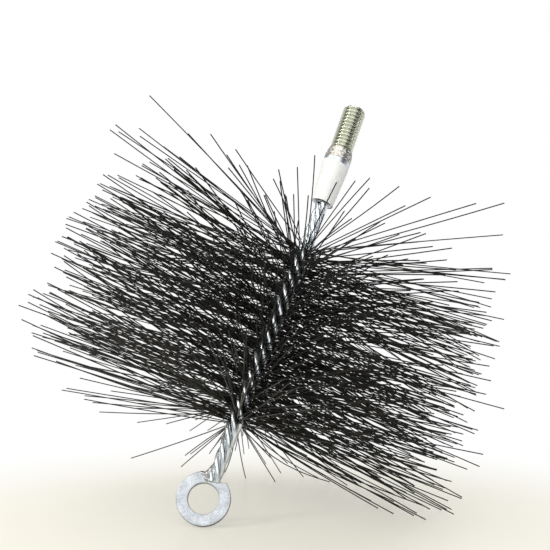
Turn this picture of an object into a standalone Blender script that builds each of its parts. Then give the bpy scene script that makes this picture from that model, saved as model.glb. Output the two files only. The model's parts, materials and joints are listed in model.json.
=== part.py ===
"""Round wire flue brush with a threaded stud and a ring eye.

The brush is built along its own stem: local Z runs from the ring eye up to the stud, local X points
across the stem in the plane of the ring, and the local origin is the centre of the ring. An empty
named brush_stance then leans the whole brush over, so that it stands on the ring and on the lowest
bristle tips, as a brush put down on a table does. The floor is the world plane Z = 0.
"""

import math
import random

import bmesh
import bpy
import numpy as np
from mathutils import Matrix, Vector

MM = 0.001

# Fits between neighbouring pieces
SEAT_GAP = 0.3 * MM
CUT_OVERRUN = 5.0 * MM
MERGE_DISTANCE = 0.01 * MM
SMOOTH_ANGLE_DEG = 35.0

# Stance: how the brush leans when it stands on its ring and its lowest bristles
LEAN_DEG = 29.0
LEAN_AZIMUTH_DEG = 48.0
SPIN_DEG = -54.0
FLOOR_CUT_DEPTH = 0.5 * MM

# Ring eye, a flat ring with its corner cut away where the stem is welded on
RING_OUTER_DIAMETER = 28.0 * MM
RING_HOLE_DIAMETER = 16.0 * MM
RING_THICKNESS = 3.5 * MM
RING_SEAT_WALL = 1.1 * MM
RING_SEAT_SLOPE_DEG = 13.0
RING_EDGE_ROUND = 0.4 * MM
RING_SEGMENTS = 40

# Stem of four wires twisted left-handed
STEM_WIRE_COUNT = 4
STEM_WIRE_DIAMETER = 3.0 * MM
STEM_PITCH = 33.0 * MM
STEM_TIGHT_SPACE = 0.48 * MM
STEM_OPEN_SPACE = 1.1 * MM
STEM_OPENING_LENGTH = 12.0 * MM
STEM_AXIS_OFFSET = 6.6 * MM
STEM_FOOT_SHIFT = 4.8 * MM
STEM_BEND_LENGTH = 160.0 * MM
STEM_POINTS_PER_TURN = 12
STEM_BEVEL_RESOLUTION = 2
WIRE_FOOT_SHARE = 0.75
WIRE_FOOT_ROUNDS = 8

# Bristles
BRISTLE_START_HEIGHT = 42.0 * MM
BRISTLED_LENGTH = 102.0 * MM
BRUSH_DIAMETER = 250.0 * MM
BRISTLE_DIAMETER = 0.7 * MM
BRISTLE_SIDES = 3
BRISTLE_SLICE_COUNT = 12
STATIONS_PER_SLICE = 9
SLICE_END_MARGIN = 0.65 * MM
BRISTLE_CORE_CLEARANCE = 0.4 * MM
BRISTLE_CORE_SIDES = 8
BRISTLE_ROOT_SHARE = 0.6
BRISTLE_SHORTENING_SHARE = 0.22
STUD_END_SPLAY_DEG = 12.0
RING_END_SPLAY_DEG = 6.0
STUD_END_SPREAD_DEG = 13.0
RING_END_SPREAD_DEG = 7.0
END_EFFECT_POWER = 5
SIDEWAYS_POWER = 1.5
LEAN_JITTER_DEG = 4.0
TURN_JITTER_DEG = 8.0
BRISTLE_CLEARANCE = 0.25 * MM
BRISTLE_TRIES = 30
BRISTLE_SEED = 11

# Ferrule, the tapered tube that grips the top of the stem
FERRULE_BOTTOM_HEIGHT = 171.5 * MM
FERRULE_LENGTH = 27.0 * MM
FERRULE_TOP_DIAMETER = 15.0 * MM
FERRULE_MOUTH_WALL = 1.6 * MM
FERRULE_WEB = 3.5 * MM
FERRULE_SEGMENTS = 24

# Paper label wrapped round the ferrule
LABEL_THICKNESS = 0.25 * MM
LABEL_TOP_INSET = 2.4 * MM
LABEL_BOTTOM_INSET = 0.6 * MM

# Threaded stud
THREAD_DIAMETER = 12.7 * MM
THREAD_PITCH = 2.117 * MM
THREAD_DEPTH = 1.35 * MM
THREAD_LENGTH = 26.5 * MM
THREAD_CHAMFER = 1.8 * MM
THREAD_SHOULDER_RUN_OUT = 0.6 * MM
THREAD_END_BEVEL = 0.4 * MM
THREAD_END_GROWTH_SHARE = 0.4
THREAD_POINTS_PER_TURN = 16
THREAD_ROOT_WIDTH_SHARE = 0.92
THREAD_CREST_WIDTH_SHARE = 0.2
THREAD_SUNK_SHARE = 0.3
SPIGOT_DIAMETER = 9.4 * MM
SPIGOT_DEPTH = 8.0 * MM

# Welds
STUD_WELD_HEIGHT = 5.5 * MM
STUD_WELD_OVERHANG = 0.1 * MM
STUD_WELD_BULGE = 0.35 * MM
RING_WELD_WIDTH = 6.4 * MM
RING_WELD_DEPTH = 4.6 * MM
RING_WELD_HEIGHT = 8.0 * MM
RING_WELD_INSET = 1.0 * MM
RING_WELD_SEGMENTS = 20

# Radii and heights that follow from the sizes above
STEM_TIGHT_RADIUS = (STEM_WIRE_DIAMETER + STEM_TIGHT_SPACE) / 2 / math.sin(math.pi / STEM_WIRE_COUNT)
STEM_OPEN_RADIUS = (STEM_WIRE_DIAMETER + STEM_OPEN_SPACE) / 2 / math.sin(math.pi / STEM_WIRE_COUNT)
STEM_BORE_RADIUS = STEM_TIGHT_RADIUS + STEM_WIRE_DIAMETER / 2 + SEAT_GAP
FERRULE_BOTTOM_DIAMETER = 2 * (STEM_BORE_RADIUS + FERRULE_MOUTH_WALL)
RING_SEAT_HEIGHT = RING_HOLE_DIAMETER / 2 + RING_SEAT_WALL
RING_WELD_RISE = RING_OUTER_DIAMETER / 2 - RING_WELD_INSET
SLICE_LENGTH = BRISTLED_LENGTH / BRISTLE_SLICE_COUNT
STATION_STEP = (SLICE_LENGTH - 2 * SLICE_END_MARGIN) / (STATIONS_PER_SLICE - 1)
BRISTLE_END_HEIGHT = BRISTLE_START_HEIGHT + BRISTLED_LENGTH
FERRULE_TOP_HEIGHT = FERRULE_BOTTOM_HEIGHT + FERRULE_LENGTH
SOCKET_TOP_HEIGHT = FERRULE_TOP_HEIGHT - SPIGOT_DEPTH - FERRULE_WEB
STEM_TOP_HEIGHT = SOCKET_TOP_HEIGHT - 2 * SEAT_GAP
THREAD_BOTTOM_HEIGHT = FERRULE_TOP_HEIGHT + STUD_WELD_HEIGHT + 2 * SEAT_GAP
THREAD_TOP_HEIGHT = THREAD_BOTTOM_HEIGHT + THREAD_LENGTH


def clear_scene():
    """Remove the objects that a new file holds."""
    for thing in list(bpy.data.objects):
        bpy.data.objects.remove(thing, do_unlink=True)


def make_collection(name):
    """Make a collection under the scene's own."""
    collection = bpy.data.collections.new(name)
    bpy.context.scene.collection.children.link(collection)
    return collection


def make_stance():
    """Place the empty that leans the brush over, with the ring's lowest point on the floor."""
    turn = Matrix.Rotation(math.radians(LEAN_AZIMUTH_DEG), 4, "Z")
    lean = Matrix.Rotation(math.radians(LEAN_DEG), 4, "Y")
    spin = Matrix.Rotation(math.radians(SPIN_DEG), 4, "Z")
    rotation = turn @ lean @ spin
    across_ring = math.hypot(rotation[2][0], rotation[2][2])
    drop = RING_OUTER_DIAMETER / 2 * across_ring + RING_THICKNESS / 2 * abs(rotation[2][1])
    stance = bpy.data.objects.new("brush_stance", None)
    stance.empty_display_size = RING_OUTER_DIAMETER
    stance.matrix_world = Matrix.Translation((0, 0, drop)) @ rotation
    return stance


def make_material(name, colour, metallic, roughness):
    """Make a Principled material from a linear colour."""
    material = bpy.data.materials.new(name)
    material.use_nodes = True
    shader = material.node_tree.nodes["Principled BSDF"]
    shader.inputs["Base Color"].default_value = (*colour, 1)
    shader.inputs["Metallic"].default_value = metallic
    shader.inputs["Roughness"].default_value = roughness
    material.diffuse_color = (*colour, 1)
    return material


def add_part(thing, material):
    """Give a piece its material and hang it on the stance."""
    thing.data.materials.append(material)
    thing.parent = stance
    parts.objects.link(thing)
    return thing


def add_tool(thing, on_brush=True):
    """Keep a cutter or a blank apart from the pieces, hidden from renders."""
    thing.display_type = "WIRE"
    thing.hide_render = True
    if on_brush:
        thing.parent = stance
    tools.objects.link(thing)
    return thing


def add_boolean(thing, tool, operation):
    """Cut or join a piece with a tool."""
    modifier = thing.modifiers.new(f"{operation.lower()}_{tool.name}", "BOOLEAN")
    modifier.operation = operation
    modifier.solver = "EXACT"
    modifier.object = tool


def shade_round(mesh):
    """Shade a round mesh smooth between its sharp edges."""
    mesh.shade_smooth()
    mesh.set_sharp_from_angle(angle=math.radians(SMOOTH_ANGLE_DEG))


def box_object(name, low, high):
    """Make a box between two corners."""
    mesh = bpy.data.meshes.new(name)
    shape = bmesh.new()
    bmesh.ops.create_cube(shape, size=1)
    size = Vector(high) - Vector(low)
    middle = (Vector(high) + Vector(low)) / 2
    bmesh.ops.scale(shape, vec=size, verts=shape.verts)
    bmesh.ops.translate(shape, vec=middle, verts=shape.verts)
    shape.to_mesh(mesh)
    shape.free()
    return bpy.data.objects.new(name, mesh)


def cylinder_object(name, radius, low, high, sides):
    """Make a capped cylinder along Z about the object's own axis."""
    mesh = bpy.data.meshes.new(name)
    shape = bmesh.new()
    bmesh.ops.create_cone(
        shape, cap_ends=True, segments=sides, radius1=radius, radius2=radius, depth=high - low
    )
    bmesh.ops.translate(shape, vec=(0, 0, (high + low) / 2), verts=shape.verts)
    shape.to_mesh(mesh)
    shape.free()
    shade_round(mesh)
    return bpy.data.objects.new(name, mesh)


def turned_object(name, profile, closed, segments):
    """Turn a profile of (radius, height) points, listed down its outer side, about Z."""
    mesh = bpy.data.meshes.new(name)
    count = len(profile)
    edges = [(i, i + 1) for i in range(count - 1)]
    if closed:
        edges.append((count - 1, 0))
    mesh.from_pydata([(radius, 0, height) for radius, height in profile], edges, [])
    thing = bpy.data.objects.new(name, mesh)
    screw = thing.modifiers.new("turn", "SCREW")
    screw.angle = math.tau
    screw.steps = segments
    screw.render_steps = segments
    screw.use_merge_vertices = True
    screw.merge_threshold = MERGE_DISTANCE
    return thing


def wire_curve(name, lines, diameter, resolution):
    """Make a curve with one straight-sided tube along each line of points."""
    curve = bpy.data.curves.new(name, "CURVE")
    curve.dimensions = "3D"
    curve.twist_mode = "Z_UP"
    curve.bevel_depth = diameter / 2
    curve.bevel_resolution = resolution
    curve.use_fill_caps = True
    for line in lines:
        spline = curve.splines.new("POLY")
        spline.points.add(len(line) - 1)
        for point, place in zip(spline.points, line):
            point.co = (*place, 1)
    return curve


def mesh_from_curve(name, curve):
    """Turn a curve into a closed mesh object with its caps welded on."""
    guide = bpy.data.objects.new(f"{name}_guide", curve)
    tools.objects.link(guide)
    evaluated = guide.evaluated_get(bpy.context.evaluated_depsgraph_get())
    mesh = bpy.data.meshes.new_from_object(evaluated)
    bpy.data.objects.remove(guide, do_unlink=True)
    shape = bmesh.new()
    shape.from_mesh(mesh)
    bmesh.ops.remove_doubles(shape, verts=shape.verts, dist=MERGE_DISTANCE)
    bmesh.ops.recalc_face_normals(shape, faces=shape.faces)
    shape.to_mesh(mesh)
    shape.free()
    mesh.name = name
    return bpy.data.objects.new(name, mesh)


def ease(share):
    """Go smoothly from 0 to 1 as the share does."""
    share = min(max(share, 0), 1)
    return share * share * (3 - 2 * share)


def stem_centre(height):
    """Return how far the stem's centre line lies from the ring's centre, across the brush."""
    straight = ease((height - RING_OUTER_DIAMETER / 2) / STEM_BEND_LENGTH)
    return STEM_AXIS_OFFSET - STEM_FOOT_SHIFT * (1 - straight)


def stem_radius(height):
    """Return the radius on which the wires' centres lie, wider where they hold bristles."""
    opening = ease((height - BRISTLE_START_HEIGHT) / STEM_OPENING_LENGTH + 1)
    closing = ease((BRISTLE_END_HEIGHT - height) / STEM_OPENING_LENGTH + 1)
    return STEM_TIGHT_RADIUS + (STEM_OPEN_RADIUS - STEM_TIGHT_RADIUS) * min(opening, closing)


def stem_angle(height):
    """Return how far the left-handed lay has turned at a height."""
    return -math.tau * height / STEM_PITCH


def ring_seat_height(across):
    """Return the height of the ring's cut face at a distance across the brush."""
    return RING_SEAT_HEIGHT + across * math.tan(math.radians(RING_SEAT_SLOPE_DEG))


def wire_centre(number, height):
    """Return the centre of one stem wire at a height."""
    angle = stem_angle(height) + math.tau * number / STEM_WIRE_COUNT
    radius = stem_radius(height)
    return Vector((stem_centre(height) + radius * math.cos(angle), radius * math.sin(angle), height))


def wire_foot_height(number):
    """Return where a stem wire ends above the ring's cut face."""
    clearance = STEM_WIRE_DIAMETER / 2 * WIRE_FOOT_SHARE + SEAT_GAP
    height = RING_SEAT_HEIGHT
    for _ in range(WIRE_FOOT_ROUNDS):
        height = ring_seat_height(wire_centre(number, height).x) + clearance
    return height


def make_stem_wires(material):
    """Make the four twisted wires from the ring up into the ferrule."""
    lines = []
    for number in range(STEM_WIRE_COUNT):
        foot = wire_foot_height(number)
        count = math.ceil((STEM_TOP_HEIGHT - foot) / STEM_PITCH * STEM_POINTS_PER_TURN) + 1
        heights = np.linspace(foot, STEM_TOP_HEIGHT, count)
        line = [wire_centre(number, float(height)) for height in heights]
        name = f"stem_wire_{number + 1}"
        wire = mesh_from_curve(name, wire_curve(name, [line], STEM_WIRE_DIAMETER, STEM_BEVEL_RESOLUTION))
        shade_round(wire.data)
        add_part(wire, material)
        lines.append(np.array(line))
    return lines


def bristle_core_radius():
    """Return the radius of the backing slice, which fits between the four wires."""
    return STEM_OPEN_RADIUS - STEM_WIRE_DIAMETER / 2 - BRISTLE_CORE_CLEARANCE


def bristle_section():
    """Make the outline that the bristles are swept from."""
    section = bpy.data.curves.new("bristle_section", "CURVE")
    section.dimensions = "2D"
    outline = section.splines.new("POLY")
    outline.points.add(BRISTLE_SIDES - 1)
    for number, point in enumerate(outline.points):
        angle = math.tau * number / BRISTLE_SIDES
        point.co = (BRISTLE_DIAMETER / 2 * math.sin(angle), BRISTLE_DIAMETER / 2 * math.cos(angle), 0, 1)
    outline.use_cyclic_u = True
    return add_tool(bpy.data.objects.new("bristle_section", section), on_brush=False)


def bristle_angle(height, gap):
    """Return the direction, about the stem, of the gap between two wires that a bristle leaves by."""
    return stem_angle(height) + math.tau * (gap + 0.5) / STEM_WIRE_COUNT


def bristle_lean(height, angle, random_source):
    """Return a bristle's lean towards the stud in radians: more near the ends, and sideways at the stud."""
    side = 2 * (height - BRISTLE_START_HEIGHT) / BRISTLED_LENGTH - 1
    stud_end = max(side, 0) ** END_EFFECT_POWER * abs(math.cos(angle)) ** SIDEWAYS_POWER
    ring_end = max(-side, 0) ** END_EFFECT_POWER
    splay = STUD_END_SPLAY_DEG * stud_end - RING_END_SPLAY_DEG * ring_end
    spread = LEAN_JITTER_DEG + STUD_END_SPREAD_DEG * stud_end + RING_END_SPREAD_DEG * ring_end
    return math.radians(splay + spread * random_source.uniform(-1, 1))


def bristle_line(height, gap, random_source):
    """Return the inner and outer end of a bristle that leaves the stem between two of its wires."""
    lean = bristle_lean(height, bristle_angle(height, gap), random_source)
    core = bristle_core_radius()
    throat_radius = stem_radius(height)
    throat_height = height + (throat_radius - core) * math.tan(lean)
    angle = bristle_angle(throat_height, gap)
    throat = Vector((throat_radius * math.cos(angle), throat_radius * math.sin(angle), throat_height))
    throat.x += stem_centre(height)
    heading = angle + math.radians(random_source.uniform(-TURN_JITTER_DEG, TURN_JITTER_DEG))
    outward = Vector((math.cos(heading), math.sin(heading), math.tan(lean))).normalized()
    inner = throat - outward * (throat_radius - core * BRISTLE_ROOT_SHARE)
    shortening = BRISTLE_SHORTENING_SHARE * random_source.random()
    reach = BRUSH_DIAMETER / 2 * (1 - shortening) - throat_radius
    start_rise = (stance.matrix_world @ throat).z
    tip_rise = (stance.matrix_world @ (throat + outward * reach)).z
    if tip_rise < -FLOOR_CUT_DEPTH:
        reach *= (start_rise + FLOOR_CUT_DEPTH) / (start_rise - tip_rise)
    return inner, throat + outward * reach


def gap_to_bristles(line, others):
    """Return the least gap between one bristle and others, from the stem's surface to their tips."""
    if not others:
        return math.inf
    clear = STEM_OPEN_RADIUS + STEM_WIRE_DIAMETER / 2
    ends = np.array([line] + others)
    runs = ends[:, 1] - ends[:, 0]
    starts = ends[:, 0] + runs * (clear / np.linalg.norm(runs, axis=1))[:, None]
    runs = ends[:, 1] - starts
    between = starts[1:] - starts[0]
    square = runs[0] @ runs[0]
    other_squares = np.einsum("ij,ij->i", runs[1:], runs[1:])
    mixed = runs[1:] @ runs[0]
    along = between @ runs[0]
    other_along = np.einsum("ij,ij->i", runs[1:], between)
    divisor = square * other_squares - mixed ** 2
    share = np.clip((along * other_squares - mixed * other_along) / divisor, 0, 1)
    other_share = np.clip((share * mixed - other_along) / other_squares, 0, 1)
    share = np.clip((other_share * mixed + along) / square, 0, 1)
    apart = between + runs[1:] * other_share[:, None] - runs[0] * share[:, None]
    return float(np.linalg.norm(apart, axis=1).min()) - BRISTLE_DIAMETER


def free_bristle_line(height, gap, others, random_source):
    """Return a bristle that crosses none of those before it, or the one that comes closest to that."""
    best_line = None
    best_gap = -math.inf
    for _ in range(BRISTLE_TRIES):
        line = bristle_line(height, gap, random_source)
        found = gap_to_bristles(line, others)
        if found > best_gap:
            best_line = line
            best_gap = found
        if best_gap > BRISTLE_CLEARANCE:
            break
    return best_line


def make_bristles(material):
    """Make each slice of the bristles: a piece of backing with its bristles fused on."""
    random_source = random.Random(BRISTLE_SEED)
    section = bristle_section()
    floor_cutter = add_tool(box_object(
        "floor_cutter",
        (-BRUSH_DIAMETER, -BRUSH_DIAMETER, -CUT_OVERRUN),
        (BRUSH_DIAMETER, BRUSH_DIAMETER, 0),
    ), on_brush=False)
    lines = []
    for number in range(BRISTLE_SLICE_COUNT):
        low = BRISTLE_START_HEIGHT + number * SLICE_LENGTH
        high = low + SLICE_LENGTH
        name = f"bristle_slice_{number + 1:02d}"
        core = cylinder_object(
            name, bristle_core_radius(), low + SEAT_GAP / 2, high - SEAT_GAP / 2, BRISTLE_CORE_SIDES
        )
        core.location.x = stem_centre((low + high) / 2)
        first = len(lines)
        for row in range(STATIONS_PER_SLICE):
            height = low + SLICE_END_MARGIN + row * STATION_STEP
            for gap in range(STEM_WIRE_COUNT):
                lines.append(free_bristle_line(height, gap, lines, random_source))
        own_lines = lines[first:]
        curve = wire_curve(f"{name}_strands", own_lines, 0, 0)
        curve.bevel_mode = "OBJECT"
        curve.bevel_object = section
        strands = add_tool(mesh_from_curve(f"{name}_strands", curve))
        add_boolean(core, strands, "UNION")
        if min((stance.matrix_world @ outer).z for inner, outer in own_lines) < BRISTLE_DIAMETER:
            add_boolean(core, floor_cutter, "DIFFERENCE")
        add_part(core, material)
    return lines


def ferrule_radius(height):
    """Return the outer radius of the tapered ferrule at a height."""
    share = (height - FERRULE_BOTTOM_HEIGHT) / FERRULE_LENGTH
    return (FERRULE_BOTTOM_DIAMETER + (FERRULE_TOP_DIAMETER - FERRULE_BOTTOM_DIAMETER) * share) / 2


def ferrule_outline(low, high, outward):
    """Return the two ends of a surface that lies outside the ferrule by a distance."""
    return [(ferrule_radius(height) + outward, height) for height in (high, low)]


def make_ferrule(material):
    """Make the tapered tube, with a socket for the stem below and one for the stud above."""
    stud_bore = SPIGOT_DIAMETER / 2 + SEAT_GAP
    outline = ferrule_outline(FERRULE_BOTTOM_HEIGHT, FERRULE_TOP_HEIGHT, 0)
    spigot_seat = FERRULE_TOP_HEIGHT - SPIGOT_DEPTH - SEAT_GAP
    inside = [
        (STEM_BORE_RADIUS, FERRULE_BOTTOM_HEIGHT),
        (STEM_BORE_RADIUS, SOCKET_TOP_HEIGHT),
        (SEAT_GAP, SOCKET_TOP_HEIGHT),
        (SEAT_GAP, spigot_seat),
        (stud_bore, spigot_seat),
        (stud_bore, FERRULE_TOP_HEIGHT),
    ]
    ferrule = turned_object("ferrule", outline + inside, True, FERRULE_SEGMENTS)
    ferrule.location.x = STEM_AXIS_OFFSET
    return add_part(ferrule, material)


def make_label(material):
    """Make the paper label, a thin sleeve that follows the ferrule."""
    low = FERRULE_BOTTOM_HEIGHT + LABEL_BOTTOM_INSET
    high = FERRULE_TOP_HEIGHT - LABEL_TOP_INSET
    outside = ferrule_outline(low, high, SEAT_GAP + LABEL_THICKNESS)
    inside = ferrule_outline(low, high, SEAT_GAP)
    label = turned_object("label", outside + inside[::-1], True, FERRULE_SEGMENTS)
    label.location.x = STEM_AXIS_OFFSET
    return add_part(label, material)


def make_thread_ridge():
    """Make the helical ridge of the thread, which runs out at the shoulder and at the chamfered end."""
    root_radius = THREAD_DIAMETER / 2 - THREAD_DEPTH
    sunk = THREAD_DEPTH * THREAD_SUNK_SHARE
    root_half = THREAD_PITCH * THREAD_ROOT_WIDTH_SHARE / 2
    crest_half = THREAD_PITCH * THREAD_CREST_WIDTH_SHARE / 2
    tooth = bpy.data.curves.new("thread_tooth", "CURVE")
    tooth.dimensions = "2D"
    outline = tooth.splines.new("POLY")
    corners = [
        (-sunk, -root_half),
        (THREAD_DEPTH, -crest_half),
        (THREAD_DEPTH, crest_half),
        (-sunk, root_half),
    ]
    outline.points.add(len(corners) - 1)
    for point, (radial, axial) in zip(outline.points, corners):
        point.co = (radial, axial, 0, 1)
    outline.use_cyclic_u = True
    tooth_object = add_tool(bpy.data.objects.new("thread_tooth", tooth), on_brush=False)
    low = THREAD_BOTTOM_HEIGHT + THREAD_PITCH / 2
    high = THREAD_TOP_HEIGHT - THREAD_PITCH / 2
    count = math.ceil((high - low) / THREAD_PITCH * THREAD_POINTS_PER_TURN)
    line = []
    growths = []
    for height in np.linspace(low, high, count + 1):
        angle = math.tau * (height - low) / THREAD_PITCH
        line.append((root_radius * math.cos(angle), root_radius * math.sin(angle), height))
        run_out = min((height - low) / THREAD_SHOULDER_RUN_OUT, (high - height) / THREAD_CHAMFER)
        growths.append(THREAD_END_GROWTH_SHARE + (1 - THREAD_END_GROWTH_SHARE) * ease(run_out))
    curve = wire_curve("thread_ridge", [line], 0, 0)
    for point, growth in zip(curve.splines[0].points, growths):
        point.radius = growth
    curve.bevel_mode = "OBJECT"
    curve.bevel_object = tooth_object
    return mesh_from_curve("thread_ridge", curve)


def make_threaded_stud(material):
    """Make the stud: a core with its helical thread, and a spigot for the ferrule."""
    root_radius = THREAD_DIAMETER / 2 - THREAD_DEPTH
    spigot_radius = SPIGOT_DIAMETER / 2
    spigot_low = FERRULE_TOP_HEIGHT - SPIGOT_DEPTH
    profile = [
        (0, THREAD_TOP_HEIGHT),
        (root_radius - THREAD_END_BEVEL, THREAD_TOP_HEIGHT),
        (root_radius, THREAD_TOP_HEIGHT - THREAD_END_BEVEL),
        (root_radius, THREAD_BOTTOM_HEIGHT),
        (spigot_radius, THREAD_BOTTOM_HEIGHT),
        (spigot_radius, spigot_low),
        (0, spigot_low),
    ]
    stud = turned_object("threaded_stud", profile, False, THREAD_POINTS_PER_TURN)
    ridge = add_tool(make_thread_ridge())
    for thing in (stud, ridge):
        thing.location.x = STEM_AXIS_OFFSET
    add_boolean(stud, ridge, "UNION")
    return add_part(stud, material)


def make_stud_weld(material):
    """Make the fillet weld between the stud's thread and the ferrule."""
    low = FERRULE_TOP_HEIGHT + SEAT_GAP
    high = THREAD_BOTTOM_HEIGHT - SEAT_GAP
    inner = SPIGOT_DIAMETER / 2 + SEAT_GAP
    top = THREAD_DIAMETER / 2 + STUD_WELD_OVERHANG
    bottom = FERRULE_TOP_DIAMETER / 2
    middle = (top + bottom) / 2 + STUD_WELD_BULGE
    outline = [(top, high), (middle, (high + low) / 2), (bottom, low), (inner, low), (inner, high)]
    weld = turned_object("stud_weld", outline, True, FERRULE_SEGMENTS)
    weld.location.x = STEM_AXIS_OFFSET
    return add_part(weld, material)


def make_ring_eye(material):
    """Make the flat ring, with the seat for the stem cut into its upper corner."""
    half = RING_THICKNESS / 2
    outer = RING_OUTER_DIAMETER / 2
    inner = RING_HOLE_DIAMETER / 2
    edge = RING_EDGE_ROUND
    outline = [
        (outer - edge, half),
        (outer, half - edge),
        (outer, edge - half),
        (outer - edge, -half),
        (inner + edge, -half),
        (inner, edge - half),
        (inner, half - edge),
        (inner + edge, half),
    ]
    ring = turned_object("ring_eye", outline, True, RING_SEGMENTS)
    ring.rotation_euler.x = math.tau / 4
    foot_left = stem_centre(RING_SEAT_HEIGHT) - STEM_BORE_RADIUS
    seat = add_tool(box_object(
        "ring_seat_cutter",
        (0, -outer, 0),
        (RING_OUTER_DIAMETER, outer, outer),
    ))
    seat.location = (foot_left, 0, ring_seat_height(foot_left))
    seat.rotation_euler.y = -math.radians(RING_SEAT_SLOPE_DEG)
    add_boolean(ring, seat, "DIFFERENCE")
    return add_part(ring, material)


def make_ring_weld(material):
    """Make the weld that fills the corner between the ring's shoulder and the side of the stem."""
    foot = RING_WELD_RISE
    mesh = bpy.data.meshes.new("ring_weld")
    shape = bmesh.new()
    bmesh.ops.create_uvsphere(
        shape, u_segments=RING_WELD_SEGMENTS, v_segments=RING_WELD_SEGMENTS // 2, radius=1
    )
    size = Vector((RING_WELD_WIDTH, RING_WELD_DEPTH, RING_WELD_HEIGHT)) / 2
    bmesh.ops.scale(shape, vec=size, verts=shape.verts)
    shape.to_mesh(mesh)
    shape.free()
    shade_round(mesh)
    weld = bpy.data.objects.new("ring_weld", mesh)
    weld.location = (stem_centre(foot) - STEM_BORE_RADIUS, 0, foot)
    stem_cutter = add_tool(cylinder_object(
        "stem_side_cutter",
        STEM_BORE_RADIUS,
        RING_SEAT_HEIGHT - CUT_OVERRUN,
        foot + RING_WELD_HEIGHT + CUT_OVERRUN,
        FERRULE_SEGMENTS,
    ))
    stem_cutter.location.x = stem_centre(foot)
    ring_reach = RING_OUTER_DIAMETER / 2 + SEAT_GAP
    ring_cutter = add_tool(cylinder_object(
        "ring_side_cutter", ring_reach, -ring_reach, ring_reach, RING_SEGMENTS
    ))
    ring_cutter.rotation_euler.x = math.tau / 4
    add_boolean(weld, stem_cutter, "DIFFERENCE")
    add_boolean(weld, ring_cutter, "DIFFERENCE")
    return add_part(weld, material)


def centre_on_origin():
    """Move the stance so that the brush's box stands centred over the world origin."""
    bpy.context.view_layer.update()
    graph = bpy.context.evaluated_depsgraph_get()
    corners = []
    for thing in parts.objects:
        if thing.type != "MESH":
            continue
        evaluated = thing.evaluated_get(graph)
        mesh = evaluated.to_mesh()
        places = np.empty(len(mesh.vertices) * 3, dtype=np.float32)
        mesh.vertices.foreach_get("co", places)
        evaluated.to_mesh_clear()
        world = np.array(thing.matrix_world)
        places = places.reshape(-1, 3) @ world[:3, :3].T + world[:3, 3]
        corners.append(places.min(axis=0))
        corners.append(places.max(axis=0))
    low = np.min(corners, axis=0)
    high = np.max(corners, axis=0)
    stance.location.x -= float(low[0] + high[0]) / 2
    stance.location.y -= float(low[1] + high[1]) / 2
    bpy.context.view_layer.update()


def least_wire_gap(lines):
    """Return the least gap between neighbouring stem wires, measured on their points."""
    least = math.inf
    for first, second in zip(lines, lines[1:] + lines[:1]):
        distance = np.linalg.norm(first[:, None] - second[None], axis=2).min()
        least = min(least, float(distance))
    return least - STEM_WIRE_DIAMETER


def least_bristle_gap(lines):
    """Return the least gap between any two bristles outside the stem."""
    return min(gap_to_bristles(line, lines[number + 1:]) for number, line in enumerate(lines[:-1]))


clear_scene()
parts = make_collection("chimney_sweep_brush")
tools = make_collection("cutters")
stance = make_stance()
parts.objects.link(stance)
bpy.context.view_layer.update()

zinc_plate = make_material("zinc_plated_steel", (0.55, 0.57, 0.56), 1.0, 0.35)
galvanised = make_material("galvanised_wire", (0.6, 0.62, 0.64), 1.0, 0.3)
black_wire = make_material("black_steel_wire", (0.02, 0.02, 0.022), 0.6, 0.45)
weld_metal = make_material("weld_metal", (0.42, 0.38, 0.34), 1.0, 0.5)
paper = make_material("label_paper", (0.88, 0.88, 0.86), 0.0, 0.6)

make_ring_eye(zinc_plate)
make_ring_weld(weld_metal)
wire_lines = make_stem_wires(galvanised)
bristle_lines = make_bristles(black_wire)
make_ferrule(galvanised)
make_label(paper)
make_stud_weld(weld_metal)
make_threaded_stud(zinc_plate)
centre_on_origin()

print(f"least gap between stem wires {least_wire_gap(wire_lines) / MM:.2f} mm")
print(f"least gap between bristles outside the stem {least_bristle_gap(bristle_lines) / MM:.2f} mm")
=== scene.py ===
"""Chimney sweep brush: the finish and the fine shapes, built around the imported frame.

The brush leans on a pale table. Its own axes come from the frame's two mounts: Z runs up the stem to
the end of the stud, Y points away from the front face of the ring, and the local origin is the centre
of the ring. Pieces are shaped in those axes and then set in the frame's.
"""

import json
import math
from functools import partial

import bmesh
import bpy
import numpy as np
from bpy.props import FloatProperty, FloatVectorProperty, IntProperty, PointerProperty
from bpy.types import Operator, Panel, PropertyGroup
from mathutils import Matrix, Vector, noise


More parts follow.
